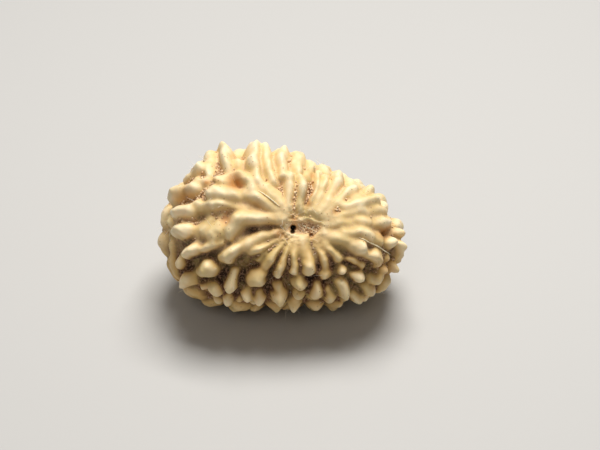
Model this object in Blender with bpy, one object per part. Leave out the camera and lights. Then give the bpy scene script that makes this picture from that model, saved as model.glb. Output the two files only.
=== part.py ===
"""Rudraksha seed: the ridged, knobbly stone of a rudraksha fruit, lying on its side with one pole up.

The stone grew as one piece, so it is one closed solid. A smooth body in the seed's own outline carries ribs
that run out from each pole and knobs that follow them, all raised from its surface by a formula.
The body is drawn with its pole axis upright, in millimetres, and is laid down in metres at the end.
"""

import math
import random

import bmesh
import bpy
import numpy as np
from mathutils import Matrix, Vector, noise
from mathutils.bvhtree import BVHTree

MM = 0.001

# Body, seen down on the upper pole: a mean radius with a few waves round the outline
MEAN_RADIUS = 12.7
OUTLINE_WAVES = ((1, 0.97, -116.0), (2, 3.02, -6.4), (3, 0.81, -19.6), (4, 0.22, -9.0), (5, 0.17, -2.0))
BODY_CENTRE = (-2.0, -0.1)
HALF_DEPTH = 10.4
LOWER_HALF_DEPTH = 9.9
FULLNESS = 2.35

# How the seed lies: the upper pole leans out of the vertical, towards -Y
POLE_ELEVATION = 38.0
FLAT_DEPTH = 0.6

# Ribs and knobs: half width as a share of the full width, rise as a factor on the height,
# profile as the power that shapes the cross-section, start as the share of the height where the path starts
RIB_SHARE = 0.78
RIB_RISE = 1.15
RIB_PROFILE = 1.0
RIB_START = 0.4
KNOB_SHARE = 0.8
KNOB_RISE = 1.4
KNOB_PROFILE = 1.0
KNOB_START = 0.7
START_WIDTH = 0.72
FULL_SIZE_AT = 0.7
TIP_LIFT = 1.5
PAST_OUTLINE_POLAR = 88.0
PATH_POINTS = 5
CORNER_CUT = 0.25
NEAR_CHECK_STEP = 3
FAR_AWAY = 1e9
TINY = 1e-9
BLEND_POWER = 8.0
MELT_ROUNDS = 2

# Smooth noise, as sizes and amounts, that moves the ribs about, and the rise and dip along their backs
WARPS = ((4.4, 0.5), (1.7, 0.25), (0.8, 0.12))
NOISE_PLACES = ((9.3, -1.5, -7.9), (-3.2, 12.6, 5.1), (6.4, 2.7, -14.8))
UNEVENNESS = 0.38
UNEVENNESS_SIZE = 1.9

# Far side: rows of a rib and four knobs each, as polar angles from and to, in degrees
ROWS = 27
ROW_WANDER = 0.18
ROW_STAGGER = 3.5
ROW_SHIFT = 2.0
ROW_LEAN = 0.05
ROW_SPANS = ((172.0, 147.0), (136.0, 129.0), (119.0, 112.0), (103.0, 96.0), (87.0, 81.0))
BELT_STARTS_AT = 110.0
BELT_RISE = 0.8
FAR_RIB_HEIGHTS = (1.3, 1.7)
FAR_KNOB_HEIGHTS = (1.4, 1.9)
FAR_WIDTHS = (0.86, 1.06)
NARROWEST = 1.2
WIDEST = 2.3
NARROWER_AT_THE_POINT = 0.6
CLEAR_OF_TAKEN = 1.1
DRAWS = 11

# Small knobs in the bare spots
SPOTS_TRIED = 6000
SMALLEST_GAP = 0.55
LARGEST_FILLER = 0.95
FILLER_OVERLAP = 0.15
FILLER_LEAN = 0.3
FILLER_HEIGHTS = (0.7, 1.2)
NO_FILLER_ROUND_POLE = (5.6, 3.4)

# Upper pole
SLOT_CENTRE = (1.4, 0.0)
SLOT_HALF_SIZE = (2.7, 1.15)
SLOT_DEPTH = 0.6
SLOT_STEEPNESS = 1.5
SLOT_WANDER = 0.35
RIM_WIDTH = 1.8
RIM_HEIGHT = 0.3
RIM_POINTS = 25
PORE_STEEPNESS = 1.6
PORES = (((-0.05, 0.1), 0.36, 1.5), ((-0.15, -0.5), 0.30, 1.2), ((2.4, -1.0), 0.28, 0.7))
HOLLOWS = (
    ((-8.0, 6.1), 0.75, 0.9),
    ((2.1, 4.7), 0.5, 0.8),
    ((12.3, -0.5), 0.5, 0.8),
    ((-11.6, -8.0), 0.5, 0.8),
    ((-12.0, 6.2), 0.4, 0.6),
    ((-9.2, 1.2), 0.6, 0.6),
)

# Mesh
SPHERE_LEVEL = 7
EASING_ROUNDS = 1
EASING = 0.5
TRIANGLES = 11000
CUT_TOLERANCE = 1e-7

# Material
STONE_COLOUR = (0.68, 0.47, 0.24, 1.0)
STONE_ROUGHNESS = 0.6

# Ribs that start at the upper pole: their path over the face, full width and height
UPPER_RIBS = (
    (((-1.6, 1.7), (-4.9, 1.6), (-7.5, 1.0), (-8.8, -0.7)), 2.0, 1.9),
    (((-1.8, 2.3), (-3.7, 3.8), (-6.6, 4.8)), 2.0, 1.6),
    (((-1.2, 2.5), (-2.3, 4.3), (-4.3, 5.8)), 1.8, 1.6),
    (((-4.0, 2.3), (-7.3, 2.7), (-10.3, 3.3), (-13.2, 2.9)), 1.6, 1.7),
    (((-0.6, 2.9), (-0.8, 5.2), (-0.6, 7.4)), 1.4, 1.5),
    (((0.9, 2.8), (1.0, 4.8), (0.9, 6.9)), 1.4, 1.6),
    (((2.0, 2.6), (2.8, 5.4), (3.3, 7.7)), 1.1, 1.5),
    (((2.7, 2.6), (3.7, 5.0), (4.3, 7.5)), 1.2, 1.6),
    (((3.4, 2.4), (5.2, 5.0), (6.2, 7.4)), 1.7, 1.7),
    (((4.1, 2.1), (6.4, 4.2), (8.3, 5.9)), 1.5, 1.7),
    (((4.7, 1.7), (7.8, 2.3), (12.7, 2.3)), 1.5, 1.6),
    (((4.6, 0.7), (8.9, 0.9), (13.5, 0.4)), 1.6, 1.6),
    (((4.5, -0.7), (6.8, -1.4), (9.2, -2.8)), 1.9, 2.0),
    (((1.6, -1.8), (1.8, -3.6), (2.1, -5.8)), 1.6, 1.7),
    (((3.1, -1.8), (3.7, -3.8), (4.4, -5.6)), 1.1, 1.5),
    (((4.0, -1.5), (5.1, -3.1), (6.1, -4.4)), 1.2, 1.4),
    (((0.5, -1.9), (0.4, -4.0), (0.2, -6.0)), 1.1, 1.6),
    (((-0.4, -1.9), (-1.0, -4.2), (-2.2, -6.6)), 1.2, 1.7),
    (((-1.4, -1.9), (-2.8, -4.0), (-4.0, -5.6)), 1.2, 1.6),
    (((-2.6, -0.7), (-6.2, -2.0), (-8.4, -3.0), (-9.4, -3.9)), 1.7, 2.0),
    (((-1.8, -1.5), (-3.8, -2.7), (-6.2, -3.3)), 1.2, 1.5),
    (((-1.9, -1.9), (-3.3, -3.4), (-4.9, -4.6)), 0.9, 1.1),
)

# Knobs on the upper face, further out: path, full width and height
UPPER_KNOBS = (
    (((-7.2, 3.9), (-9.2, 4.8), (-11.0, 4.9)), 2.0, 1.5),
    (((-10.6, 7.2), (-8.0, 7.9), (-6.5, 6.7), (-5.8, 5.6)), 1.7, 1.5),
    (((-10.2, 6.0), (-9.9, 6.6)), 2.2, 1.3),
    (((-11.8, 7.6), (-11.8, 10.2)), 1.8, 1.6),
    (((-9.2, 8.5), (-9.9, 10.8)), 1.8, 1.8),
    (((-7.8, 8.6), (-7.8, 9.9)), 1.4, 1.0),
    (((-4.8, 6.6), (-5.5, 8.9), (-5.6, 11.0)), 2.2, 1.9),
    (((-2.8, 6.4), (-3.1, 8.6), (-3.7, 10.8)), 1.6, 1.7),
    (((-1.4, 7.4), (-1.3, 10.4)), 1.7, 1.6),
    (((0.6, 7.9), (0.7, 10.2)), 1.8, 1.7),
    (((1.9, 7.4), (2.1, 8.9)), 1.7, 1.3),
    (((8.2, 4.1), (10.6, 5.3)), 1.7, 1.6),
    (((6.9, 3.2), (9.2, 3.3), (11.5, 3.8)), 1.5, 1.7),
    (((6.8, -0.4), (9.6, -0.8), (12.0, -1.9)), 1.5, 1.6),
    (((12.7, -2.2), (13.5, -2.5)), 1.5, 1.5),
    (((14.3, -2.6), (14.8, -2.9)), 1.4, 1.8),
    (((14.2, -0.6), (14.8, -0.9)), 1.3, 1.5),
    (((9.2, -3.5), (11.8, -3.9)), 1.7, 1.7),
    (((11.7, -4.6), (11.9, -4.8)), 1.0, 1.3),
    (((12.9, -4.2), (13.1, -4.3)), 1.0, 1.3),
    (((12.4, -5.8), (12.6, -5.9)), 1.0, 1.3),
    (((13.8, -5.3), (13.9, -5.6)), 1.0, 1.7),
    (((14.4, -4.1), (14.5, -4.2)), 1.0, 1.2),
    (((11.2, -7.1), (12.0, -7.2)), 1.5, 1.5),
    (((10.2, -8.4), (10.9, -8.9)), 1.6, 1.5),
    (((8.3, -6.9), (8.9, -7.1)), 1.4, 1.6),
    (((6.5, -5.7), (6.8, -6.3)), 1.2, 1.3),
    (((7.6, -4.3), (9.6, -5.3)), 1.1, 1.4),
    (((8.3, -9.7), (9.1, -10.2)), 1.5, 1.6),
    (((4.9, -8.9), (5.1, -9.8)), 1.4, 1.5),
    (((6.5, -7.9), (7.0, -9.2)), 1.4, 1.6),
    (((3.1, -8.3), (3.0, -9.2)), 1.7, 1.7),
    (((3.9, -6.4), (4.6, -6.6)), 1.7, 1.1),
    (((0.8, -7.0), (0.7, -7.8)), 1.7, 1.6),
    (((1.0, -9.2), (0.6, -9.4)), 1.6, 1.4),
    (((0.1, -10.6), (-0.1, -11.0)), 1.7, 1.5),
    (((-4.6, -6.6), (-5.2, -7.3)), 2.0, 1.7),
    (((-2.2, -8.6), (-2.1, -9.2)), 1.9, 1.8),
    (((-6.1, -8.9), (-6.3, -9.6)), 1.5, 1.6),
    (((-4.7, -9.2), (-4.6, -9.9)), 1.5, 1.6),
    (((-8.4, -6.2), (-8.9, -8.4)), 1.4, 1.6),
    (((-9.1, -9.9), (-9.2, -10.3)), 1.4, 1.4),
    (((-13.0, -6.3), (-11.5, -5.5)), 2.0, 1.9),
    (((-10.0, -2.0), (-12.7, -2.8), (-14.7, -3.2)), 1.5, 1.8),
    (((-9.7, 0.9), (-10.9, -1.0)), 2.6, 1.4),
    (((-11.8, 1.1), (-13.0, -0.8)), 2.3, 1.2),
    (((-16.9, 2.1), (-14.5, 2.3)), 1.7, 1.8),
    (((-17.1, -0.5), (-14.8, -0.4)), 1.8, 1.8),
    (((-17.4, 4.5), (-15.7, 5.2)), 1.9, 1.6),
    (((-15.4, 5.5), (-13.3, 5.5)), 1.9, 1.4),
    (((-15.3, 7.2), (-13.0, 8.3)), 1.6, 1.8),
    (((-13.8, 6.9), (-12.2, 6.3)), 1.7, 1.3),
    (((-15.5, -7.9), (-14.8, -7.3)), 1.8, 1.8),
    (((-12.6, -8.9), (-11.0, -8.8)), 1.7, 1.5),
    (((-14.1, -6.7), (-14.1, -7.6)), 1.4, 1.3),
    (((-15.9, -3.7), (-16.1, -5.1)), 1.4, 1.2),
    (((-18.2, -3.0), (-17.2, -6.6)), 2.2, 0.7),
)


def outline_radius(azimuth):
    """The body's radius round its outline, at an azimuth or an array of them."""
    radius = MEAN_RADIUS
    for count, amount, direction in OUTLINE_WAVES:
        radius = radius + amount * np.cos(count * (azimuth - math.radians(direction)))
    return radius


def body_point(polar, azimuth):
    """A point of the smooth body, from the angle to the upper pole and the azimuth round it."""
    across = np.sin(polar)
    along = np.cos(polar)
    round_off = (np.abs(across) ** FULLNESS + np.abs(along) ** FULLNESS) ** (-1.0 / FULLNESS)
    radius = outline_radius(azimuth) * across * round_off
    x = BODY_CENTRE[0] + radius * np.cos(azimuth)
    y = BODY_CENTRE[1] + radius * np.sin(azimuth)
    depth = np.where(along > 0.0, HALF_DEPTH, LOWER_HALF_DEPTH)
    return np.stack([x, y, depth * along * round_off], axis=-1)


def clear_scene():
    for obj in list(bpy.data.objects):
        bpy.data.objects.remove(obj, do_unlink=True)


def coordinates(mesh):
    flat = np.empty(len(mesh.vertices) * 3)
    mesh.vertices.foreach_get("co", flat)
    return flat.reshape(-1, 3)


def normals(mesh):
    flat = np.empty(len(mesh.vertices) * 3)
    mesh.vertex_normals.foreach_get("vector", flat)
    return flat.reshape(-1, 3)


def set_coordinates(mesh, points):
    mesh.vertices.foreach_set("co", points.astype(np.float32).ravel())
    mesh.update()


def smooth_body():
    """The body without its relief, as a dense sphere pushed out to the seed's form."""
    bpy.ops.mesh.primitive_ico_sphere_add(subdivisions=SPHERE_LEVEL, radius=1.0)
    body = bpy.context.object
    direction = coordinates(body.data)
    polar = np.arccos(np.clip(direction[:, 2], -1.0, 1.0))
    azimuth = np.arctan2(direction[:, 1], direction[:, 0])
    set_coordinates(body.data, body_point(polar, azimuth))
    return body


def raised_tree(body):
    """The surface that the tips of the knobs lie on, for finding places below it."""
    tips = coordinates(body.data) + TIP_LIFT * normals(body.data)
    faces = [face.vertices[:] for face in body.data.polygons]
    return BVHTree.FromPolygons([Vector(tip) for tip in tips], faces)


def dropped_on(tree, point):
    """The root of a knob whose tip is seen at this point, or a place on the outline for a point past it."""
    above = Vector((point[0], point[1], 2 * HALF_DEPTH))
    tip, outward, _, _ = tree.ray_cast(above, Vector((0.0, 0.0, -1.0)))
    if tip is None:
        azimuth = math.atan2(point[1] - BODY_CENTRE[1], point[0] - BODY_CENTRE[0])
        return body_point(math.radians(PAST_OUTLINE_POLAR), azimuth)
    return np.array(tip - TIP_LIFT * outward)


def refined(path):
    """The same path divided so finely that it follows the body, with any corners cut twice."""
    points = np.array(path, float)
    if len(points) == 2:
        return points[0] + np.linspace(0.0, 1.0, PATH_POINTS)[:, None] * (points[1] - points[0])
    for _ in range(2):
        near = points[:-1] + CORNER_CUT * (points[1:] - points[:-1])
        far = points[1:] - CORNER_CUT * (points[1:] - points[:-1])
        between = np.stack([near, far], axis=1).reshape(-1, 2)
        points = np.concatenate([points[:1], between, points[-1:]])
    return points


def upper_lobes(body):
    """Ribs and knobs of the upper face: path on the body, half width, height, start share and profile."""
    tree = raised_tree(body)
    lobes = []
    for path, width, height in UPPER_RIBS:
        places = np.array([dropped_on(tree, point) for point in refined(path)])
        lobes.append((places, width * RIB_SHARE, height * RIB_RISE, RIB_START, RIB_PROFILE))
    for path, width, height in UPPER_KNOBS:
        places = np.array([dropped_on(tree, point) for point in refined(path)])
        lobes.append((places, width * KNOB_SHARE, height * KNOB_RISE, KNOB_START, KNOB_PROFILE))
    angles = np.linspace(0.0, 2 * math.pi, RIM_POINTS)
    rim = np.array(SLOT_CENTRE) + np.stack([np.cos(angles), np.sin(angles)], axis=1) * SLOT_HALF_SIZE
    places = np.array([dropped_on(tree, point) for point in rim])
    lobes.append((places, RIM_WIDTH / 2, RIM_HEIGHT, 1.0, RIB_PROFILE))
    return lobes


def lower_lobes(taken):
    """Ribs round the lower pole and knobs up to the belt, row by row, where no lobe of the upper face is."""
    draw = random.Random(DRAWS)
    occupied = np.concatenate([lobe[0] for lobe in taken])
    lobes = []
    for row in range(ROWS):
        turn = 2 * math.pi * (row + draw.uniform(-ROW_WANDER, ROW_WANDER)) / ROWS
        shift = draw.uniform(-ROW_SHIFT, ROW_SHIFT) + (ROW_STAGGER if row % 2 else -ROW_STAGGER)
        for span, (start, end) in enumerate(ROW_SPANS):
            is_rib = span == 0
            start += 0.0 if is_rib else shift
            rise = BELT_RISE if start < BELT_STARTS_AT else 1.0
            lean = draw.uniform(-ROW_LEAN, ROW_LEAN)
            end += shift + draw.uniform(-ROW_SHIFT, ROW_SHIFT)
            polar = np.radians(np.linspace(start, end, PATH_POINTS))
            azimuth = turn + np.linspace(-lean, lean, PATH_POINTS)
            places = body_point(polar, azimuth)
            middle = places[len(places) // 2]
            spacing = 2 * math.pi * math.hypot(middle[0] - BODY_CENTRE[0], middle[1] - BODY_CENTRE[1]) / ROWS
            widest = WIDEST - NARROWER_AT_THE_POINT * math.cos(turn)
            width = min(max(spacing, NARROWEST), widest) * draw.uniform(*FAR_WIDTHS)
            height = rise * draw.uniform(*(FAR_RIB_HEIGHTS if is_rib else FAR_KNOB_HEIGHTS))
            if np.min(np.linalg.norm(occupied - middle, axis=1)) < 0.5 * width + CLEAR_OF_TAKEN:
                continue
            lobes.append((places, width * KNOB_SHARE, height, RIB_START if is_rib else 1.0, KNOB_PROFILE))
    return lobes


def gap_to(points, lobe):
    """How far each point is from the edge of a lobe."""
    places, half_width = lobe[0], lobe[1]
    distances = np.linalg.norm(points[:, None, :] - places[None, :, :], axis=2)
    return distances.min(axis=1) - half_width


def fillers(points, taken):
    """Small knobs that fill what is left between the others, the widest gap first."""
    draw = random.Random(DRAWS + 1)
    spots = points[draw.sample(range(len(points)), SPOTS_TRIED)]
    round_pole = np.sum((spots[:, :2] / NO_FILLER_ROUND_POLE) ** 2, axis=1) < 1.0
    spots = spots[~(round_pole & (spots[:, 2] > 0.0))]
    gap = np.min([gap_to(spots, lobe) for lobe in taken], axis=0)
    lobes = []
    while gap.max() > SMALLEST_GAP:
        widest = int(gap.argmax())
        half_width = min(gap[widest] + FILLER_OVERLAP, LARGEST_FILLER)
        lean = np.array([draw.uniform(-FILLER_LEAN, FILLER_LEAN) for _ in range(3)])
        places = np.array([spots[widest] - lean, spots[widest] + lean])
        lobe = (places, half_width, half_width * draw.uniform(*FILLER_HEIGHTS), 1.0, KNOB_PROFILE)
        gap = np.minimum(gap, gap_to(spots, lobe))
        lobes.append(lobe)
    return lobes


def lobe_height(points, places, half_width, height, start_share, profile):
    """How far one lobe lifts each point: a round back over its path, growing from its start along it."""
    lift = np.zeros(len(points))
    lengths = np.linalg.norm(np.diff(places, axis=0), axis=1)
    total = max(lengths.sum(), TINY)
    some_places = places[None, ::NEAR_CHECK_STEP, :]
    reach = half_width + NEAR_CHECK_STEP * lengths.max()
    near = np.min(np.linalg.norm(points[:, None, :] - some_places, axis=2), axis=1) < reach
    chosen = points[near]
    nearest = np.full(len(chosen), FAR_AWAY)
    share_there = np.zeros(len(chosen))
    walked = 0.0
    for start, end, length in zip(places, places[1:], lengths):
        along = end - start
        share = np.clip((chosen - start) @ along / max(along @ along, TINY), 0.0, 1.0)
        distance = np.linalg.norm(chosen - (start + share[:, None] * along), axis=1)
        closer = distance < nearest
        nearest[closer] = distance[closer]
        share_there[closer] = (walked + share[closer] * length) / total
        walked += length
    out = np.clip(share_there / FULL_SIZE_AT, 0.0, 1.0)
    width_there = half_width * (START_WIDTH + (1.0 - START_WIDTH) * out)
    height_there = height * (start_share + (1.0 - start_share) * out)
    inside = np.clip(1.0 - (nearest / width_there) ** 2, 0.0, 1.0)
    lift[near] = height_there * inside ** profile
    return lift


def relief(points, lobes):
    """All lobes together: the higher wins, with the join between two of them eased."""
    total = np.zeros(len(points))
    for lobe in lobes:
        total += lobe_height(points, *lobe) ** BLEND_POWER
    return total ** (1.0 / BLEND_POWER)


def melted(values, mesh):
    """The values at a mesh's points averaged with their neighbours, so that the lobes run into each other."""
    edges = np.empty(2 * len(mesh.edges), np.int32)
    mesh.edges.foreach_get("vertices", edges)
    starts, ends = edges.reshape(-1, 2).T
    size = len(values)
    count = np.bincount(starts, minlength=size) + np.bincount(ends, minlength=size) + 1.0
    for _ in range(MELT_ROUNDS):
        around = np.bincount(starts, values[ends], size) + np.bincount(ends, values[starts], size)
        values = (values + around) / count
    return values


def noise_at(points, size, place=(0.0, 0.0, 0.0)):
    """Smooth noise from about -1 to 1 at each point, for lumps of this size."""
    shift = Vector(place)
    return np.array([noise.noise(Vector(point) / size + shift) for point in points])


def wander(points, size):
    """Smooth noise as an arrow at each point, from three noises taken at separate places."""
    return np.stack([noise_at(points, size, place) for place in NOISE_PLACES], axis=1)


def sunk(points, upper):
    """The slot at the upper pole, its pores and the hollows between knobs, as a depth below the body."""
    ragged = points[:, :2] + SLOT_WANDER * wander(points, 1.0)[:, :2]
    slot = np.sum(((ragged - SLOT_CENTRE) / SLOT_HALF_SIZE) ** 2, axis=1)
    depth = SLOT_DEPTH * np.clip(SLOT_STEEPNESS * (1.0 - slot), 0.0, 1.0)
    for (x, y), radius, deep in PORES:
        across = np.hypot(points[:, 0] - x, points[:, 1] - y) / radius
        depth = depth + deep * np.clip(PORE_STEEPNESS - across ** 2, 0.0, 1.0)
    for (x, y), radius, deep in HOLLOWS:
        across = np.hypot(points[:, 0] - x, points[:, 1] - y) / radius
        depth = depth + deep * np.exp(-across ** 2)
    return np.where(upper, depth, 0.0)


def warped(points):
    """The points moved about by smooth noise, so that no rib or knob is a regular form."""
    moved = points.copy()
    for size, amount in WARPS:
        moved += amount * wander(points, size)
    return moved


def uneven(points):
    """A factor near one that makes each rib and knob rise and dip a little."""
    return 1.0 + UNEVENNESS * noise_at(points, UNEVENNESS_SIZE)


def raise_relief(seed):
    """Lifts the ribs and knobs from the body along its normals and sinks the slot and the pores."""
    points = coordinates(seed.data)
    outward = normals(seed.data)
    lobes = upper_lobes(seed)
    lobes += lower_lobes(lobes)
    lobes += fillers(points, lobes)
    backs = melted(relief(warped(points), lobes), seed.data) * uneven(points)
    lift = backs - sunk(points, points[:, 2] > 0.0)
    set_coordinates(seed.data, points + outward * lift[:, None])
    print(len(lobes), "ribs and knobs")


def lay_down(seed):
    """Turns the seed to how it lies, sets it on its flat spot and centres it, all in its mesh, in metres."""
    lean = Matrix.Rotation(math.radians(90.0 - POLE_ELEVATION), 4, "X")
    seed.data.transform(Matrix.Scale(MM, 4) @ lean)
    lowest = coordinates(seed.data)[:, 2].min()
    seed.data.transform(Matrix.Translation((0.0, 0.0, -lowest - FLAT_DEPTH * MM)))


def apply_modifier(obj, kind, **settings):
    modifier = obj.modifiers.new(kind.title(), kind)
    for name, value in settings.items():
        setattr(modifier, name, value)
    bpy.context.view_layer.objects.active = obj
    bpy.ops.object.modifier_apply(modifier=modifier.name)


def cut_flat(seed):
    """Takes off what is below the resting surface, which leaves small flats on the lowest knobs."""
    form = bmesh.new()
    form.from_mesh(seed.data)
    everything = form.verts[:] + form.edges[:] + form.faces[:]
    cut = bmesh.ops.bisect_plane(form, geom=everything, dist=CUT_TOLERANCE, plane_co=(0.0, 0.0, 0.0),
                                 plane_no=(0.0, 0.0, -1.0), clear_outer=True)
    edges = [item for item in cut["geom_cut"] if isinstance(item, bmesh.types.BMEdge)]
    bmesh.ops.holes_fill(form, edges=edges, sides=0)
    bmesh.ops.triangulate(form, faces=form.faces[:])
    form.to_mesh(seed.data)
    form.free()


def centre(seed):
    points = coordinates(seed.data)
    middle = (points.min(axis=0) + points.max(axis=0)) / 2
    seed.data.transform(Matrix.Translation((-middle[0], -middle[1], 0.0)))
    print("centred by", np.round(middle[:2] / MM, 3), "mm")


def dry_stone():
    """The material of the whole stone."""
    material = bpy.data.materials.new("dry_stone")
    material.use_nodes = True
    shader = material.node_tree.nodes["Principled BSDF"]
    shader.inputs["Base Color"].default_value = STONE_COLOUR
    shader.inputs["Roughness"].default_value = STONE_ROUGHNESS
    shader.inputs["Metallic"].default_value = 0.0
    return material


def main():
    clear_scene()
    collection = bpy.data.collections.new("rudraksha_seed")
    bpy.context.scene.collection.children.link(collection)
    seed = smooth_body()
    seed.name = "seed"
    raise_relief(seed)
    lay_down(seed)
    apply_modifier(seed, "SMOOTH", factor=EASING, iterations=EASING_ROUNDS)
    apply_modifier(seed, "DECIMATE", ratio=TRIANGLES / len(seed.data.polygons))
    cut_flat(seed)
    centre(seed)
    for owner in list(seed.users_collection):
        owner.objects.unlink(seed)
    collection.objects.link(seed)
    seed.data.materials.append(dry_stone())
    print(len(seed.data.polygons), "triangles")


main()
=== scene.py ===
# %% [markdown]
# # A rudraksha seed
#
# The dried stone of a rudraksha fruit lies on its side on a pale surface. It is one hard, woody piece.
# Rounded ribs run out from a small slot at each pole and break up into knobs, and the crevices between
# them hold brown, crumbly remains of the fruit. This lesson starts from the measured solid, which is
# already the right size and in the right place, and makes a finer stone over it.

# %% The measured solid
import math
import random

import bpy
import numpy as np
from mathutils import Matrix, Vector, noise
from mathutils.bvhtree import BVHTree


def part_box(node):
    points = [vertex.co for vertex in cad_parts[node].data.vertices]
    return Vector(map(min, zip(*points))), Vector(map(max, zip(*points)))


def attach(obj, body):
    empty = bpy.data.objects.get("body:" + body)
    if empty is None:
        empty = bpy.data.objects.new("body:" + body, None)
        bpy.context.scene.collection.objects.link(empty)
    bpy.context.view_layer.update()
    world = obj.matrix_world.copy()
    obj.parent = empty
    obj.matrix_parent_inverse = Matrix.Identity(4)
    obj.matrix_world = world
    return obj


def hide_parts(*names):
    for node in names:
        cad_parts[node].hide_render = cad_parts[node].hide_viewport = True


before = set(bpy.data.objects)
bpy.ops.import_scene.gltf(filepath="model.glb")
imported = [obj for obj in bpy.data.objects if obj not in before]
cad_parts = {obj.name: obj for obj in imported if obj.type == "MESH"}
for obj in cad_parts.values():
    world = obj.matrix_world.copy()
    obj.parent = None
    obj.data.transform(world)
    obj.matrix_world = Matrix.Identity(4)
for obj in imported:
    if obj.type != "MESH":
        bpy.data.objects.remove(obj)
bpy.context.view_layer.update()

MM = 0.001

# %% [markdown]
# ## The smooth body
#
# Without its ribs the stone is a cushion with a lopsided outline. It could be sculpted by hand, but a
# formula gives the same form every time and can be looked up at any point, which the ribs need later. The
# numbers are in millimetres. The cushion is drawn with its pole axis upright, and it is laid down when it
# is finished.

# %% Numbers of the body, in millimetres and degrees
MEAN_RADIUS = 12.7
OUTLINE_WAVES = ((1, 0.97, -116.0), (2, 3.02, -6.4), (3, 0.81, -19.6), (4, 0.22, -9.0), (5, 0.17, -2.0))
BODY_CENTRE = (-2.0, -0.1)
HALF_DEPTH = 10.4
LOWER_HALF_DEPTH = 9.9
FULLNESS = 2.35
POLE_ELEVATION = 38.0
FLAT_DEPTH = 0.6


def outline_radius(azimuth):
    """The body's radius round its outline: a mean radius with a few waves in it."""
    radius = MEAN_RADIUS
    for count, amount, direction in OUTLINE_WAVES:
        radius = radius + amount * np.cos(count * (azimuth - math.radians(direction)))
    return radius


def body_point(polar, azimuth):
    """A point of the smooth body, from the angle to the upper pole and the azimuth round it."""
    across = np.sin(polar)
    along = np.cos(polar)
    round_off = (np.abs(across) ** FULLNESS + np.abs(along) ** FULLNESS) ** (-1.0 / FULLNESS)
    radius = outline_radius(azimuth) * across * round_off
    depth = np.where(along > 0.0, HALF_DEPTH, LOWER_HALF_DEPTH)
    x = BODY_CENTRE[0] + radius * np.cos(azimuth)
    y = BODY_CENTRE[1] + radius * np.sin(azimuth)
    return np.stack([x, y, depth * along * round_off], axis=-1)


print("outline from", round(float(outline_radius(np.radians(90.0))), 1), "to",
      round(float(outline_radius(np.radians(0.0))), 1), "mm from the centre")

# %% [markdown]
# A sphere is added as usual and then every point of it is moved to its place on the body. An ico sphere
# is used, because its triangles are alike everywhere and it has no pinched poles. It is very dense, so
# that the crevices come out crisp, and it is thinned at the end.

# %% Helpers for meshes
def coordinates(mesh):
    """All the points of a mesh, as rows of x, y, z."""
    flat = np.empty(len(mesh.vertices) * 3)
    mesh.vertices.foreach_get("co", flat)
    return flat.reshape(-1, 3)


def normals(mesh):
    """The outward directions at all the points of a mesh."""
    flat = np.empty(len(mesh.vertices) * 3)
    mesh.vertex_normals.foreach_get("vector", flat)
    return flat.reshape(-1, 3)


def set_coordinates(mesh, points):
    """Moves all the points of a mesh to new places."""
    mesh.vertices.foreach_set("co", points.astype(np.float32).ravel())
    mesh.update()


def faces_of(mesh):
    """The corners of every face of a mesh."""
    return [face.vertices[:] for face in mesh.polygons]


def new_sphere(level):
    """An ico sphere of radius 1, with nothing else selected."""
    bpy.ops.object.select_all(action="DESELECT")
    bpy.ops.mesh.primitive_ico_sphere_add(subdivisions=level, radius=1.0)
    return bpy.context.object


print("mesh helpers ready")

# %% A dense sphere in the form of the body
SPHERE_LEVEL = 8


def form_body(sphere):
    """Moves every point of a sphere to its place on the body."""
    directions = coordinates(sphere.data)
    polar = np.arccos(np.clip(directions[:, 2], -1.0, 1.0))
    azimuth = np.arctan2(directions[:, 1], directions[:, 0])
    set_coordinates(sphere.data, body_point(polar, azimuth))


stone = new_sphere(SPHERE_LEVEL)
stone.name = "stone"
form_body(stone)
body_points = coordinates(stone.data)
outward = normals(stone.data)
print(len(body_points), "points on the body")
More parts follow.
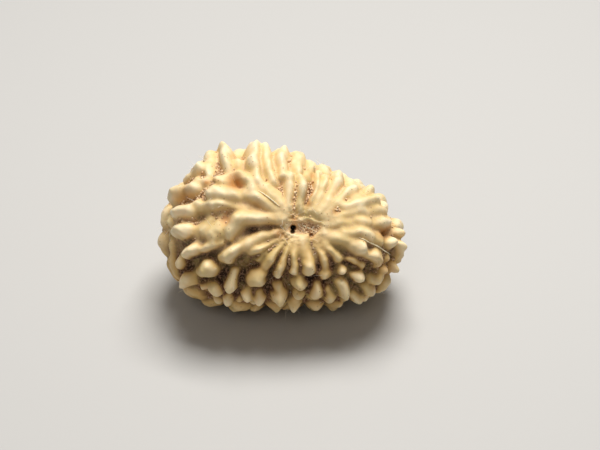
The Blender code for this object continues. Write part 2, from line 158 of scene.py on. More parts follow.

# %% [markdown]
# ## Where the ribs and knobs are
#
# The ribs and knobs of the face that we look at were read off one by one. Each is a short path, given as (u,
# v) places, in millimetres to the right of the pole and above it, with a width and a height. A real stone is
# just as irregular, so no rule would give this face.

# %% Ribs that start at the upper pole
UPPER_RIBS = (
    (((-1.6, 1.7), (-4.9, 1.6), (-7.5, 1.0), (-8.8, -0.7)), 2.0, 1.9),
    (((-1.8, 2.3), (-3.7, 3.8), (-6.6, 4.8)), 2.0, 1.6),
    (((-1.2, 2.5), (-2.3, 4.3), (-4.3, 5.8)), 1.8, 1.6),
    (((-4.0, 2.3), (-7.3, 2.7), (-10.3, 3.3), (-13.2, 2.9)), 1.6, 1.7),
    (((-0.6, 2.9), (-0.8, 5.2), (-0.6, 7.4)), 1.4, 1.5),
    (((0.9, 2.8), (1.0, 4.8), (0.9, 6.9)), 1.4, 1.6),
    (((2.0, 2.6), (2.8, 5.4), (3.3, 7.7)), 1.1, 1.5),
    (((2.7, 2.6), (3.7, 5.0), (4.3, 7.5)), 1.2, 1.6),
    (((3.4, 2.4), (5.2, 5.0), (6.2, 7.4)), 1.7, 1.7),
    (((4.1, 2.1), (6.4, 4.2), (8.3, 5.9)), 1.5, 1.7),
    (((4.7, 1.7), (7.8, 2.3), (12.7, 2.3)), 1.5, 1.6),
    (((4.6, 0.7), (8.9, 0.9), (13.5, 0.4)), 1.6, 1.6),
    (((4.5, -0.7), (6.8, -1.4), (9.2, -2.8)), 1.9, 2.0),
    (((1.6, -1.8), (1.8, -3.6), (2.1, -5.8)), 1.6, 1.7),
    (((3.1, -1.8), (3.7, -3.8), (4.4, -5.6)), 1.1, 1.5),
    (((4.0, -1.5), (5.1, -3.1), (6.1, -4.4)), 1.2, 1.4),
    (((0.5, -1.9), (0.4, -4.0), (0.2, -6.0)), 1.1, 1.6),
    (((-0.4, -1.9), (-1.0, -4.2), (-2.2, -6.6)), 1.2, 1.7),
    (((-1.4, -1.9), (-2.8, -4.0), (-4.0, -5.6)), 1.2, 1.6),
    (((-2.6, -0.7), (-6.2, -2.0), (-8.4, -3.0), (-9.4, -3.9)), 1.7, 2.0),
    (((-1.8, -1.5), (-3.8, -2.7), (-6.2, -3.3)), 1.2, 1.5),
    (((-1.9, -1.9), (-3.3, -3.4), (-4.9, -4.6)), 0.9, 1.1),
)
print(len(UPPER_RIBS), "ribs on the face")

# %% Knobs on the upper face, further out
UPPER_KNOBS = (
    (((-7.2, 3.9), (-9.2, 4.8), (-11.0, 4.9)), 2.0, 1.5),
    (((-10.6, 7.2), (-8.0, 7.9), (-6.5, 6.7), (-5.8, 5.6)), 1.7, 1.5),
    (((-10.2, 6.0), (-9.9, 6.6)), 2.2, 1.3),
    (((-11.8, 7.6), (-11.8, 10.2)), 1.8, 1.6),
    (((-9.2, 8.5), (-9.9, 10.8)), 1.8, 1.8),
    (((-7.8, 8.6), (-7.8, 9.9)), 1.4, 1.0),
    (((-4.8, 6.6), (-5.5, 8.9), (-5.6, 11.0)), 2.2, 1.9),
    (((-2.8, 6.4), (-3.1, 8.6), (-3.7, 10.8)), 1.6, 1.7),
    (((-1.4, 7.4), (-1.3, 10.4)), 1.7, 1.6),
    (((0.6, 7.9), (0.7, 10.2)), 1.8, 1.7),
    (((1.9, 7.4), (2.1, 8.9)), 1.7, 1.3),
    (((8.2, 4.1), (10.6, 5.3)), 1.7, 1.6),
    (((6.9, 3.2), (9.2, 3.3), (11.5, 3.8)), 1.5, 1.7),
    (((6.8, -0.4), (9.6, -0.8), (12.0, -1.9)), 1.5, 1.6),
    (((12.7, -2.2), (13.5, -2.5)), 1.5, 1.5),
    (((14.3, -2.6), (14.8, -2.9)), 1.4, 1.8),
    (((14.2, -0.6), (14.8, -0.9)), 1.3, 1.5),
    (((9.2, -3.5), (11.8, -3.9)), 1.7, 1.7),
    (((11.7, -4.6), (11.9, -4.8)), 1.0, 1.3),
    (((12.9, -4.2), (13.1, -4.3)), 1.0, 1.3),
    (((12.4, -5.8), (12.6, -5.9)), 1.0, 1.3),
    (((13.8, -5.3), (13.9, -5.6)), 1.0, 1.7),
    (((14.4, -4.1), (14.5, -4.2)), 1.0, 1.2),
    (((11.2, -7.1), (12.0, -7.2)), 1.5, 1.5),
    (((10.2, -8.4), (10.9, -8.9)), 1.6, 1.5),
    (((8.3, -6.9), (8.9, -7.1)), 1.4, 1.6),
    (((6.5, -5.7), (6.8, -6.3)), 1.2, 1.3),
    (((7.6, -4.3), (9.6, -5.3)), 1.1, 1.4),
    (((8.3, -9.7), (9.1, -10.2)), 1.5, 1.6),
    (((4.9, -8.9), (5.1, -9.8)), 1.4, 1.5),
    (((6.5, -7.9), (7.0, -9.2)), 1.4, 1.6),
    (((3.1, -8.3), (3.0, -9.2)), 1.7, 1.7),
    (((3.9, -6.4), (4.6, -6.6)), 1.7, 1.1),
    (((0.8, -7.0), (0.7, -7.8)), 1.7, 1.6),
    (((1.0, -9.2), (0.6, -9.4)), 1.6, 1.4),
    (((0.1, -10.6), (-0.1, -11.0)), 1.7, 1.5),
    (((-4.6, -6.6), (-5.2, -7.3)), 2.0, 1.7),
    (((-2.2, -8.6), (-2.1, -9.2)), 1.9, 1.8),
    (((-6.1, -8.9), (-6.3, -9.6)), 1.5, 1.6),
    (((-4.7, -9.2), (-4.6, -9.9)), 1.5, 1.6),
    (((-8.4, -6.2), (-8.9, -8.4)), 1.4, 1.6),
    (((-9.1, -9.9), (-9.2, -10.3)), 1.4, 1.4),
    (((-13.0, -6.3), (-11.5, -5.5)), 2.0, 1.9),
    (((-10.0, -2.0), (-12.7, -2.8), (-14.7, -3.2)), 1.5, 1.8),
    (((-9.7, 0.9), (-10.9, -1.0)), 2.6, 1.4),
    (((-11.8, 1.1), (-13.0, -0.8)), 2.3, 1.2),
    (((-16.9, 2.1), (-14.5, 2.3)), 1.7, 1.8),
    (((-17.1, -0.5), (-14.8, -0.4)), 1.8, 1.8),
    (((-17.4, 4.5), (-15.7, 5.2)), 1.9, 1.6),
    (((-15.4, 5.5), (-13.3, 5.5)), 1.9, 1.4),
    (((-15.3, 7.2), (-13.0, 8.3)), 1.6, 1.8),
    (((-13.8, 6.9), (-12.2, 6.3)), 1.7, 1.3),
    (((-15.5, -7.9), (-14.8, -7.3)), 1.8, 1.8),
    (((-12.6, -8.9), (-11.0, -8.8)), 1.7, 1.5),
    (((-14.1, -6.7), (-14.1, -7.6)), 1.4, 1.3),
    (((-15.9, -3.7), (-16.1, -5.1)), 1.4, 1.2),
    (((-18.2, -3.0), (-17.2, -6.6)), 2.2, 0.7),
)
print(len(UPPER_KNOBS), "knobs on the face")

# %% [markdown]
# The paths are flat, but the stone is round. The tip of a knob is what we see at each place, so the place
# is dropped straight down onto a copy of the body that is raised to the height of the tips, and then
# moved back in along the surface's own direction to the root of the knob. A ray cast does the dropping.
# Corners of a path are cut twice, which rounds it.

# %% A raised copy of the body for the ray casts
GUIDE_LEVEL = 7
TIP_LIFT = 1.5
DOWN = Vector((0.0, 0.0, -1.0))

guide = new_sphere(GUIDE_LEVEL)
form_body(guide)
guide_points = coordinates(guide.data)
tips = guide_points + TIP_LIFT * normals(guide.data)
tip_tree = BVHTree.FromPolygons(tips.tolist(), faces_of(guide.data))
bpy.data.objects.remove(guide, do_unlink=True)


def cast_down(tree, point):
    """Where the surface is hit straight below a (u, v) place, and the direction out of it there."""
    hit, away, _, _ = tree.ray_cast(Vector((point[0], point[1], 2 * HALF_DEPTH)), DOWN)
    return hit, away


print("a tip at the pole would be at", np.round(cast_down(tip_tree, (0.0, 0.0))[0], 2), "mm")

# %% From a flat path to places on the body
PAST_OUTLINE_POLAR = 88.0
PATH_POINTS = 5
CORNER_CUT = 0.25
CORNER_ROUNDS = 2


def root_below(point):
    """The root of a knob whose tip is seen at this point, or a place on the outline if it lies past that."""
    tip, away = cast_down(tip_tree, point)
    if tip is None:
        around = math.atan2(point[1] - BODY_CENTRE[1], point[0] - BODY_CENTRE[0])
        return body_point(math.radians(PAST_OUTLINE_POLAR), around)
    return np.array(tip - TIP_LIFT * away)


def refined(path):
    """The same path divided so finely that it follows the body, with any corners cut."""
    points = np.array(path, float)
    if len(points) == 2:
        return points[0] + np.linspace(0.0, 1.0, PATH_POINTS)[:, None] * (points[1] - points[0])
    for _ in range(CORNER_ROUNDS):
        near = (1.0 - CORNER_CUT) * points[:-1] + CORNER_CUT * points[1:]
        far = CORNER_CUT * points[:-1] + (1.0 - CORNER_CUT) * points[1:]
        between = np.stack([near, far], axis=1).reshape(-1, 2)
        points = np.concatenate([points[:1], between, points[-1:]])
    return points


def placed(path):
    """A flat path on the body."""
    return np.array([root_below(point) for point in path])


print("root of the first rib:", np.round(root_below(UPPER_RIBS[0][0][0]), 2), "mm")

# %% [markdown]
# On the body each rib has a path, a half-width, a height, and the share of that height with which it starts.
# The widths were judged at the backs, and the foot of a rib is wider, so more than half of the width goes to
# each side. Round the slot at the pole runs a low rim, which is one more path.

# %% Every rib and knob of the face
RIB_SHARE = 0.78
RIB_RISE = 1.15
RIB_START = 0.4
RIB_PROFILE = 1.0
KNOB_SHARE = 0.8
KNOB_RISE = 1.4
KNOB_START = 0.7
KNOB_PROFILE = 1.0
SLOT_CENTRE = (1.4, 0.0)
SLOT_HALF_SIZE = (2.7, 1.15)
RIM_WIDTH = 1.8
RIM_HEIGHT = 0.3
RIM_POINTS = 25


def slot_rim():
    """The low, wide rim round the slot at the pole, as a closed flat path."""
    turns = np.linspace(0.0, 2 * math.pi, RIM_POINTS)
    return np.array(SLOT_CENTRE) + np.stack([np.cos(turns), np.sin(turns)], axis=1) * SLOT_HALF_SIZE


lobes = []
for path, width, height in UPPER_RIBS:
    lobes.append((placed(refined(path)), width * RIB_SHARE, height * RIB_RISE, RIB_START, RIB_PROFILE))
for path, width, height in UPPER_KNOBS:
    lobes.append((placed(refined(path)), width * KNOB_SHARE, height * KNOB_RISE, KNOB_START, KNOB_PROFILE))
lobes.append((placed(slot_rim()), RIM_WIDTH / 2, RIM_HEIGHT, 1.0, RIB_PROFILE))
print(len(lobes), "forms on the upper face")

# %% [markdown]
# The far side isn't seen from here, but the part is looked at from all round. On a real stone the ribs
# start again at the other pole and break up into rows of knobs on the way to the belt, so a loop lays
# them out like that, with a seeded draw for each. It skips what would land on a knob that is already
# there. A second loop then looks for the widest bare spot and puts a small knob on it, again and again,
# until no wide spot is left.

# %% Ribs and knobs of the far side
DRAWS = 11
ROWS = 27
ROW_WANDER = 0.18
ROW_STAGGER = 3.5
ROW_SHIFT = 2.0
ROW_LEAN = 0.05
ROW_SPANS = ((172.0, 147.0), (136.0, 129.0), (119.0, 112.0), (103.0, 96.0), (87.0, 81.0))
BELT_STARTS_AT = 110.0
BELT_RISE = 0.8
FAR_RIB_HEIGHTS = (1.3, 1.7)
FAR_KNOB_HEIGHTS = (1.4, 1.9)
FAR_WIDTHS = (0.86, 1.06)
NARROWEST = 1.2
WIDEST = 2.3
NARROWER_AT_THE_POINT = 0.6
CLEAR_OF_TAKEN = 1.1


def far_side(taken):
    """Ribs round the lower pole and knobs up to the belt, row by row, where nothing is yet."""
    draw = random.Random(DRAWS)
    occupied = np.concatenate([lobe[0] for lobe in taken])
    found = []
    for row in range(ROWS):
        turn = 2 * math.pi * (row + draw.uniform(-ROW_WANDER, ROW_WANDER)) / ROWS
        shift = draw.uniform(-ROW_SHIFT, ROW_SHIFT) + (ROW_STAGGER if row % 2 else -ROW_STAGGER)
        for span, (start, end) in enumerate(ROW_SPANS):
            is_rib = span == 0
            start += 0.0 if is_rib else shift
            rise = BELT_RISE if start < BELT_STARTS_AT else 1.0
            lean = draw.uniform(-ROW_LEAN, ROW_LEAN)
            end += shift + draw.uniform(-ROW_SHIFT, ROW_SHIFT)
            down = np.radians(np.linspace(start, end, PATH_POINTS))
            places = body_point(down, turn + np.linspace(-lean, lean, PATH_POINTS))
            middle = places[len(places) // 2]
            spacing = 2 * math.pi * math.hypot(middle[0] - BODY_CENTRE[0], middle[1] - BODY_CENTRE[1]) / ROWS
            widest = WIDEST - NARROWER_AT_THE_POINT * math.cos(turn)
            width = min(max(spacing, NARROWEST), widest) * draw.uniform(*FAR_WIDTHS)
            height = rise * draw.uniform(*(FAR_RIB_HEIGHTS if is_rib else FAR_KNOB_HEIGHTS))
            if np.min(np.linalg.norm(occupied - middle, axis=1)) < 0.5 * width + CLEAR_OF_TAKEN:
                continue
            start_share = RIB_START if is_rib else 1.0
            found.append((places, width * KNOB_SHARE, height, start_share, KNOB_PROFILE))
    return found


lobes += far_side(lobes)
print(len(lobes), "forms with the far side")

# %% Small knobs in the bare spots
SPOTS_TRIED = 6000
SMALLEST_GAP = 0.55
LARGEST_FILLER = 0.95
FILLER_OVERLAP = 0.15
FILLER_LEAN = 0.3
FILLER_HEIGHTS = (0.7, 1.2)
NO_FILLER_ROUND_POLE = (5.6, 3.4)


def gap_to(points, lobe):
    """How far each point is from the edge of a rib or knob."""
    return np.min(np.linalg.norm(points[:, None, :] - lobe[0][None, :, :], axis=2), axis=1) - lobe[1]


def fillers(points, taken):
    """Small knobs for what is left between the others, the widest gap first."""
    draw = random.Random(DRAWS + 1)
    tried = points[draw.sample(range(len(points)), SPOTS_TRIED)]
    round_pole = np.sum((tried[:, :2] / NO_FILLER_ROUND_POLE) ** 2, axis=1) < 1.0
    tried = tried[~(round_pole & (tried[:, 2] > 0.0))]
    gap = np.min([gap_to(tried, lobe) for lobe in taken], axis=0)
    found = []
    while gap.max() > SMALLEST_GAP:
        widest = int(gap.argmax())
        half_width = min(gap[widest] + FILLER_OVERLAP, LARGEST_FILLER)
        lean = np.array([draw.uniform(-FILLER_LEAN, FILLER_LEAN) for _ in range(3)])
        places = np.array([tried[widest] - lean, tried[widest] + lean])
        lobe = (places, half_width, half_width * draw.uniform(*FILLER_HEIGHTS), 1.0, KNOB_PROFILE)
        gap = np.minimum(gap, gap_to(tried, lobe))
        found.append(lobe)
    return found


lobes += fillers(guide_points, lobes)
print(len(lobes), "forms in all")

# %% [markdown]
# ## Raising the relief
#
# A rib is a round back over its path: high along the middle, falling off to nothing at its edge, and
# lower near the pole. To get that everywhere at once, each point of the dense body asks every path how
# near it is. Every third point of the path is looked at first, so that only what is near it has to be
# measured exactly.

# %% The height of one rib or knob
START_WIDTH = 0.72
FULL_SIZE_AT = 0.7
COARSE_STEP = 3
FAR_AWAY = 1e9
TINY = 1e-9


def lobe_height(points, places, half_width, height, start_share, profile):
    """How far one rib or knob lifts each point, and which points it is near."""
    lengths = np.linalg.norm(np.diff(places, axis=0), axis=1)
    total = max(lengths.sum(), TINY)
    coarse = np.linalg.norm(points[:, None, :] - places[None, ::COARSE_STEP, :], axis=2)
    near = np.min(coarse, axis=1) < half_width + COARSE_STEP * lengths.max()
    chosen = points[near]
    nearest = np.full(len(chosen), FAR_AWAY)
    share_there = np.zeros(len(chosen))
    walked = 0.0
    for start, end, length in zip(places, places[1:], lengths):
        along = end - start
        share = np.clip((chosen - start) @ along / max(along @ along, TINY), 0.0, 1.0)
        distance = np.linalg.norm(chosen - (start + share[:, None] * along), axis=1)
        closer = distance < nearest
        nearest[closer] = distance[closer]
        share_there[closer] = (walked + share[closer] * length) / total
        walked += length
    out = np.clip(share_there / FULL_SIZE_AT, 0.0, 1.0)
    width_there = half_width * (START_WIDTH + (1.0 - START_WIDTH) * out)
    height_there = height * (start_share + (1.0 - start_share) * out)
    inside = np.clip(1.0 - (nearest / width_there) ** 2, 0.0, 1.0)
    return near, height_there * inside ** profile


print("a rib is", RIB_START, "of its height at the pole and full", FULL_SIZE_AT, "of the way along")

# %% [markdown]
# With that alone every rib would be a regular sausage. So the points ask from places that smooth noise
# has moved about: widely for large lumps, and less for small ones.

# %% Smooth noise to bend the ribs
WARPS = ((4.4, 0.5), (1.7, 0.25), (0.8, 0.12))
NOISE_PLACES = ((9.3, -1.5, -7.9), (-3.2, 12.6, 5.1), (6.4, 2.7, -14.8))


def noise_at(points, size, place=(0.0, 0.0, 0.0)):
    """Smooth noise from about -1 to 1 at each point, for lumps of this size."""
    shift = Vector(place)
    return np.array([noise.noise(Vector(point) / size + shift) for point in points])


def wander(points, size):
    """Smooth noise as an arrow at each point, from three noises taken at separate places."""
    return np.stack([noise_at(points, size, place) for place in NOISE_PLACES], axis=1)


def warped(points):
    """The points moved about by smooth noise."""
    moved = points.copy()
    for size, amount in WARPS:
        moved += amount * wander(points, size)
    return moved


asked = warped(body_points)
print("noise moves the points by up to", round(float(np.abs(asked - body_points).max()), 2), "mm")

# %% [markdown]
# Where two ribs meet, the higher one should win, but a hard maximum would leave a crease. The heights are
# raised to a high power, summed and brought back, which is a maximum with a soft join. Averaging with the
# neighbours along the edges then melts what is left of the crease.

# %% All of them together, melted into each other
BLEND_POWER = 8.0
MELT_ROUNDS = 5


def spread(values, edges, rounds):
    """The values averaged with their neighbours along the edges, so many times."""
    count = np.bincount(edges.ravel(), minlength=len(values)) + 1.0
    for _ in range(rounds):
        total = values + np.bincount(edges[:, 0], weights=values[edges[:, 1]], minlength=len(values))
        total += np.bincount(edges[:, 1], weights=values[edges[:, 0]], minlength=len(values))
        values = total / count
    return values


edge_ends = np.empty(2 * len(stone.data.edges), np.int32)
stone.data.edges.foreach_get("vertices", edge_ends)
edge_ends = edge_ends.reshape(-1, 2)
blend = np.zeros(len(body_points))
for lobe in lobes:
    near, risen = lobe_height(asked, *lobe)
    blend[near] += risen ** BLEND_POWER
relief = spread(blend ** (1.0 / BLEND_POWER), edge_ends, MELT_ROUNDS)
print("relief up to", round(float(relief.max()), 2), "mm")

# %% [markdown]
# At the pole there is a slot with three small pores in it, and a few hollows lie between the knobs. They
# are sunk straight from the (u, v) places read off the stone, with soft edges, so no cutter and no
# Boolean is needed.

# %% The slot, its pores and the hollows
SLOT_DEPTH = 0.6
SLOT_STEEPNESS = 1.5
SLOT_WANDER = 0.35
SLOT_WANDER_SIZE = 1.0
PORE_STEEPNESS = 1.6
PORES = (((-0.05, 0.1), 0.36, 1.5), ((-0.15, -0.5), 0.30, 1.2), ((2.4, -1.0), 0.28, 0.7))
HOLLOWS = (
    ((-8.0, 6.1), 0.75, 0.9),
    ((2.1, 4.7), 0.5, 0.8),
    ((12.3, -0.5), 0.5, 0.8),
    ((-11.6, -8.0), 0.5, 0.8),
    ((-12.0, 6.2), 0.4, 0.6),
    ((-9.2, 1.2), 0.6, 0.6),
)


def sunk(points):
    """The slot at the upper pole, its pores and the hollows between knobs, as a depth below the body."""
    ragged = points[:, :2] + SLOT_WANDER * wander(points, SLOT_WANDER_SIZE)[:, :2]
    slot = np.sum(((ragged - SLOT_CENTRE) / SLOT_HALF_SIZE) ** 2, axis=1)
    depth = SLOT_DEPTH * np.clip(SLOT_STEEPNESS * (1.0 - slot), 0.0, 1.0)
    for (x, y), radius, deep in PORES:
        across = np.hypot(points[:, 0] - x, points[:, 1] - y) / radius
        depth = depth + deep * np.clip(PORE_STEEPNESS - across ** 2, 0.0, 1.0)
    for (x, y), radius, deep in HOLLOWS:
        across = np.hypot(points[:, 0] - x, points[:, 1] - y) / radius
        depth = depth + deep * np.exp(-across ** 2)
    return np.where(points[:, 2] > 0.0, depth, 0.0)


depth = sunk(body_points)
print("deepest pore", round(float(depth.max()), 2), "mm")

# %% [markdown]
# Three finer things finish the relief. Every rib rises and dips along its back, has shallow dents, and
# the floors of the crevices are rough with dried pulp. Only then is the dense body moved out to its full
# height.

# %% Finer relief
UNEVENNESS = 0.38
UNEVEN_SIZE = 1.9
DENTS = 0.1
DENT_SIZE = 0.8
FLOOR_ENDS_AT = 1.1
FLOOR_ROUGHNESS = 0.2
COARSE_GRAIN = 0.45
FINE_GRAIN = 0.22
FINE_SHARE = 0.6

fine_grain = FINE_SHARE * noise_at(body_points, FINE_GRAIN, NOISE_PLACES[0])
rough = FLOOR_ROUGHNESS * (noise_at(body_points, COARSE_GRAIN) + fine_grain)
dented = DENTS * noise_at(body_points, DENT_SIZE, NOISE_PLACES[2])
backs = relief * (1.0 + UNEVENNESS * noise_at(body_points, UNEVEN_SIZE) + dented)
floor_share = np.clip(1.0 - relief / FLOOR_ENDS_AT, 0.0, 1.0)
lift = backs - depth + rough * floor_share
set_coordinates(stone.data, body_points + outward * lift[:, None])
print("the stone is", round(float(lift.min()), 2), "to", round(float(lift.max()), 2), "mm out of the body")

# %% [markdown]
# ## Measures for the paint
#
# The paint has to know where the crevices, the stains and the pores are. A node that looks for cavities
# while it renders would work in one renderer only, so the measures are stored on the mesh as attributes,
# which any renderer can read. What is coloured in one place only, such as a stained pit, is a soft round
# spot at a (u, v) place.

# %% Soft round spots
def spots(points, places):
    """How strongly each point of the upper face lies in one of these soft round spots."""
    strength = np.zeros(len(points))
    for (x, y), radius, amount in places:
        across = np.hypot(points[:, 0] - x, points[:, 1] - y) / radius
        strength = np.maximum(strength, amount * np.exp(-across ** 2))
    return np.where(points[:, 2] > 0.0, strength, 0.0)


STAINED_PIT = ((-8.1, 6.2), 1.0, 1.0)
STAINS = (
    STAINED_PIT,
    ((5.6, 2.2), 0.6, 0.5),
    ((12.3, -0.6), 0.8, 0.8),
    ((-12.0, 6.2), 0.5, 0.9),
    ((12.8, -5.2), 1.6, 0.4),
    ((-9.2, 1.1), 0.8, 0.6),
    ((-15.0, 4.5), 1.5, 0.5),
    ((-5.0, 3.0), 0.9, 0.45),
    ((2.0, 3.4), 0.5, 0.8),
    ((2.1, 4.6), 0.5, 0.9),
    ((2.3, 6.0), 0.45, 0.8),
    ((2.5, 7.2), 0.4, 0.7),
    ((0.1, 1.2), 0.6, 0.7),
    ((2.4, -1.0), 0.5, 0.7),
    ((-2.0, -0.8), 0.7, 0.7),
)
# Soft spots of painted shade, with some brown grime, in a few crevices, such as the one below the big rib on
# the left.
SHADE_AND_GRIME_SPOTS = (
    ((-3.2, 0.3), 1.3, 0.95),
    ((-5.6, -0.4), 1.3, 0.95),
    ((-8.2, -2.0), 1.2, 0.9),
    ((-10.6, 6.4), 0.9, 0.7),
    ((-8.0, 2.2), 1.0, 0.6),
    ((-12.6, 1.6), 1.2, 0.6),
    ((-14.6, -2.0), 1.4, 0.9),
    ((12.4, -1.4), 1.1, 0.8),
)
GOLDEN_SPOTS = (
    ((-10.6, 0.2), 2.4, 0.8),
    ((7.6, 0.4), 1.8, 0.7),
    ((10.4, 5.0), 1.2, 0.7),
    ((11.5, 3.4), 1.0, 0.6),
    ((-12.4, -5.9), 1.2, 0.6),
    ((-4.9, -6.9), 1.2, 0.5),
    ((-9.5, -3.8), 1.2, 0.6),
    ((-15.6, 4.8), 1.6, 0.6),
    ((12.8, -4.8), 1.8, 0.8),
)
print(len(STAINS), "stains,", len(SHADE_AND_GRIME_SPOTS), "grimy and", len(GOLDEN_SPOTS), "golden spots")

# %% [markdown]
# How far a point stands out of its surroundings tells a back from a crevice. It is the height less the
# height averaged along the edges, once close by and once widely. The second measure is painted shade with
# some brown grime: it grows towards the lower half of the stone, where the crevices are painted dark brown,
# and the upper half has little of it. Soft spots add more of it in a few crevices, such as the one below the
# big rib on the left.

# %% Attributes on the points
NEAR_ROUNDS = 14
WIDE_ROUNDS = 90
NEAR_GAIN = 0.5
WIDE_GAIN = 0.4
HALF_WAY = 0.5
# Painted shade with some grime: it grows from this line on the face towards the lower half, where less light
# falls.
SHADE_AND_GRIME_LINE = 0.8
SHADE_AND_GRIME_FADE = 5.0
LEAST_SHADE_AND_GRIME = 0.05
PORE_MARGIN = 0.2


def store(mesh, name, values):
    """Keeps one number for each point on the mesh."""
    measure = mesh.attributes.new(name=name, type="FLOAT", domain="POINT")
    measure.data.foreach_set("value", values.astype(np.float32))


even = backs - depth
near_level = spread(even, edge_ends, NEAR_ROUNDS)
wide_level = spread(near_level, edge_ends, WIDE_ROUNDS)
stands_out = HALF_WAY + NEAR_GAIN * (even - near_level) + WIDE_GAIN * (even - wide_level)
surface_points = coordinates(stone.data)
# Painted shade, with some brown grime: darker towards the lower half of the face, and in the soft spots.
shade_and_grime = np.clip((SHADE_AND_GRIME_LINE - body_points[:, 1]) / SHADE_AND_GRIME_FADE, LEAST_SHADE_AND_GRIME, 1.0)
shade_and_grime = np.maximum(shade_and_grime, spots(surface_points, SHADE_AND_GRIME_SPOTS))
store(stone.data, "height", np.clip(stands_out, 0.0, 1.0))
store(stone.data, "shade_and_grime", shade_and_grime)
store(stone.data, "stain", spots(surface_points, STAINS))
store(stone.data, "golden", spots(surface_points, GOLDEN_SPOTS))
store(stone.data, "slot", np.clip(depth / SLOT_DEPTH, 0.0, 1.0))
store(stone.data, "pore", np.clip(depth - SLOT_DEPTH - PORE_MARGIN, 0.0, 1.0))
print("stands out", np.round(np.percentile(stands_out, (2, 25, 50, 75, 98)), 2))

# %% [markdown]
# ## Crumbs, threads and fibres
#
# Dried pulp is left in the valleys as pinkish crumbs, a few pale threads of the fruit's seams lie across
# the ribs and the slot, and torn fibres stand up here and there. They are far too small to matter for the
# measured solid, but without them the valleys look like moulded plastic. A particle system could
# strew the crumbs, but an export drops particles, so their places are drawn here: a chance for each
# point, high in the low spots where the stone shows crumbs, thin and patchy in the other valleys, and
# none in the pores or the stained pit.

# %% Where crumbs lie
CRUMBS = 1700
CRUMB_LEVEL = 0.41
LEVEL_FADE = 0.12
PATCH_SIZE = 2.6
PATCH_BASE = 0.1
PATCH_GAIN = 1.6
PATCH_CHANCE = 0.2
FEWER_IN_SHADE_AND_GRIME = 0.8
SLOT_CHANCE = 0.5
SLOT_FLOOR = 0.3
SLOT_CRUMBS = (((2.5, -0.1), 1.2, 1.0),)
BARE_PIT_FROM = 0.25
PORE_FROM = 0.15
CRUMB_SPOTS = (
    ((2.4, -0.2), 1.6, 0.8),
    ((-12.0, 4.4), 2.6, 0.9),
    ((-14.0, 0.2), 1.6, 0.7),
    ((-10.2, 7.0), 1.6, 0.7),
    ((2.2, 4.4), 1.5, 0.9),
    ((5.5, 1.6), 1.6, 0.6),
    ((-4.2, -2.6), 1.8, 0.7),
    ((0.4, -3.6), 2.2, 0.7),
    ((12.6, -5.2), 2.0, 1.0),
    ((-12.0, -8.4), 1.2, 0.4),
)

draw = np.random.default_rng(DRAWS)
patchy = np.clip(PATCH_BASE + PATCH_GAIN * noise_at(body_points, PATCH_SIZE, NOISE_PLACES[1]), 0.0, 1.0)
strewn = spots(surface_points, CRUMB_SPOTS)
# Fewer crumbs where the valleys are painted in shade.
chance = np.maximum(PATCH_CHANCE * patchy * (1.0 - FEWER_IN_SHADE_AND_GRIME * shade_and_grime), strewn)
chance = chance * np.clip((CRUMB_LEVEL - stands_out) / LEVEL_FADE, 0.0, 1.0)
chance = chance + SLOT_CHANCE * spots(surface_points, SLOT_CRUMBS) * (depth > SLOT_FLOOR)
chance[depth > SLOT_DEPTH + PORE_FROM] = 0.0
chance[spots(surface_points, (STAINED_PIT,)) > BARE_PIT_FROM] = 0.0
picked = draw.choice(len(chance), CRUMBS, replace=False, p=chance / chance.sum())
print(len(picked), "crumbs, lowest level", round(float(stands_out[picked].min()), 2))

# %% [markdown]
# One crumb is an ico sphere. Each copy of it is made lumpy, stretched and turned by its own draws and
# pressed into the stone, and all of them become one mesh. They also keep the painted shade and grime of
# their place, for their paint, with less of it in the spots where crumbs are strewn thickly.

# %% One mesh with every crumb
CRUMB_SPHERE_LEVEL = 2
CRUMB_RADII = (0.07, 0.19)
CRUMB_STRETCH = (0.55, 1.3)
CRUMB_BUMPS = 0.22
CRUMB_LIFT = 0.3
LIGHTER_IN_SPOTS = 0.8

surface_outward = normals(stone.data)
pattern = new_sphere(CRUMB_SPHERE_LEVEL)
crumb_points = coordinates(pattern.data)
crumb_faces = np.array(faces_of(pattern.data))
bpy.data.objects.remove(pattern, do_unlink=True)


def turned_at_random():
    """A random rotation as a matrix."""
    axes, _ = np.linalg.qr(draw.normal(size=(3, 3)))
    return axes


def piece_from(name, points, faces):
    """A new smooth-shaded piece from points and faces."""
    mesh = bpy.data.meshes.new(name)
    mesh.from_pydata(points.tolist(), [], faces.tolist())
    piece = bpy.data.objects.new(name, mesh)
    bpy.context.collection.objects.link(piece)
    mesh.shade_smooth()
    return piece


clumps, clump_faces = [], []
for number, place in enumerate(picked):
    radius = draw.uniform(*CRUMB_RADII)
    stretch = draw.uniform(*CRUMB_STRETCH, 3)
    bumps = 1.0 + CRUMB_BUMPS * draw.normal(size=(len(crumb_points), 1))
    form = (crumb_points * bumps * stretch * radius) @ turned_at_random().T
    clumps.append(form + surface_points[place] + CRUMB_LIFT * radius * surface_outward[place])
    clump_faces.append(crumb_faces + number * len(crumb_points))
crumbs = piece_from("crumbs", np.concatenate(clumps), np.concatenate(clump_faces))
# Painted shade with grime for the crumbs, less of it inside the crumb spots.
crumb_shade_and_grime = shade_and_grime * (1.0 - LIGHTER_IN_SPOTS * strewn)
store(crumbs.data, "shade_and_grime", np.repeat(crumb_shade_and_grime[picked], len(crumb_points)))
print(len(crumbs.data.polygons), "triangles in the crumbs")

# %% [markdown]
# A thread or fibre is a thin tube: rings of points along a path, joined by faces. A curve with a bevel
# would do for one, but there are hundreds, and a function gives them all in one mesh. The ends are left
# open, as they are thinner than can be seen.

# %% A tube along a path
TUBE_SIDES = 5
ASKEW = (0.31, 0.83, 0.46)


